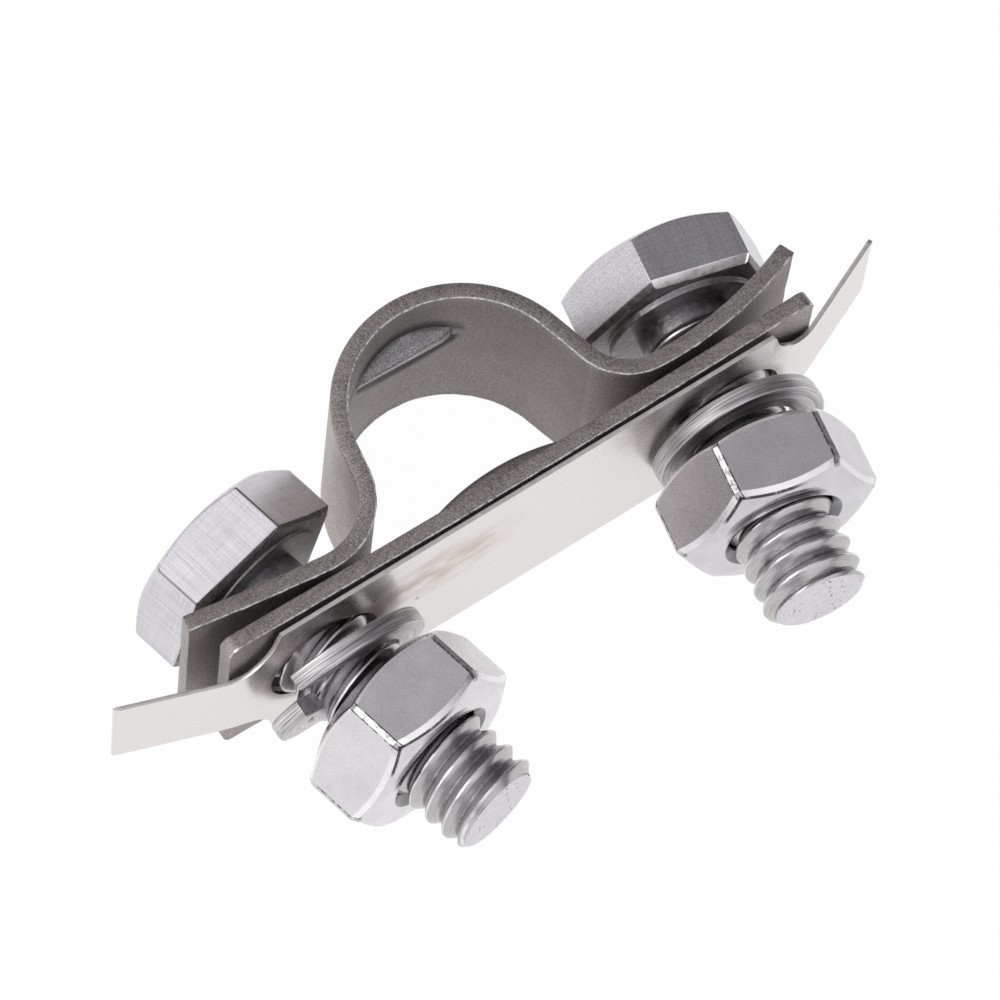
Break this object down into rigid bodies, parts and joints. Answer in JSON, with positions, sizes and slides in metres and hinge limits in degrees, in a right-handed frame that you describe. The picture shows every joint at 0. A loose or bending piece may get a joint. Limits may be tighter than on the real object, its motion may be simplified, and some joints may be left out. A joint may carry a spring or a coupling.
{
  "type": "cable tube clamp",
  "caption": "Steel saddle strap and flat plate drawn together around a tube by leaning hex bolts, with split washers and nuts over a thin tab shim; lies on its side.",
  "frame": {"origin": "on the axis of the saddle's round crown, half way along the strap's width", "axes": "+Z runs along the tube and points up as the clamp lies on its side, +X runs along the plate from the left bolt to the right bolt, +Y points from the nuts toward the bolt heads and the crown"},
  "size_m": [0.0535, 0.0279, 0.0128],
  "materials": {
    "strap_steel": "fine-grained satin sheet, tumbled, warm mid grey",
    "shim_steel": "bright rolled sheet, faint stains and scratches",
    "bolt_steel": "turned and brushed bolt heads, bright rolled threads",
    "nut_steel": "smooth satin nuts with bright edges",
    "washer_steel": "drawn bar with lines running round the ring"
  },
  "bodies": {
    "saddle": {"saddle_strap": "strap_steel"},
    "plate": {"base_plate": "strap_steel", "tab_shim": "shim_steel"},
    "left_bolt": {"left_bolt": "bolt_steel"},
    "left_washer": {"left_spring_washer": "washer_steel"},
    "left_nut": {"left_nut": "nut_steel"},
    "right_bolt": {"right_bolt": "bolt_steel"},
    "right_washer": {"right_spring_washer": "washer_steel"},
    "right_nut": {"right_nut": "nut_steel"}
  },
  "joints": [
    {"name": "plate_travel", "type": "slide", "parent": "saddle", "child": "plate", "axis": [0, 1, 0], "range_m": [0, 0.00026]},
    {"name": "left_bolt_turn", "type": "hinge", "parent": "saddle", "child": "left_bolt", "pos_m": [-0.014, -0.00461, 0.00015], "axis": [-0.2028, 0.9792, 0], "continuous": true},
    {"name": "right_bolt_turn", "type": "hinge", "parent": "saddle", "child": "right_bolt", "pos_m": [0.01481, -0.00461, -0.0002], "axis": [0.1942, 0.981, 0], "continuous": true},
    {"name": "left_washer_travel", "type": "slide", "parent": "saddle", "child": "left_washer", "axis": [0.2028, -0.9792, 0], "range_m": [0, 0.0098]},
    {"name": "left_nut_turn", "type": "hinge", "parent": "left_washer", "child": "left_nut", "pos_m": [-0.01234, -0.01264, 0.00015], "axis": [0.2028, -0.9792, 0], "range_deg": [0, 2790]},
    {"name": "right_washer_travel", "type": "slide", "parent": "saddle", "child": "right_washer", "axis": [-0.1942, -0.981, 0], "range_m": [0, 0.0102]},
    {"name": "right_nut_turn", "type": "hinge", "parent": "right_washer", "child": "right_nut", "pos_m": [0.01341, -0.01167, -0.0002], "axis": [-0.1942, -0.981, 0], "range_deg": [0, 2900]}
  ],
  "couplings": [
    {"joint": "left_nut_turn", "follows": "left_washer_travel", "rad_per_m": 4947.4},
    {"joint": "right_nut_turn", "follows": "right_washer_travel", "rad_per_m": 4947.4}
  ]
}
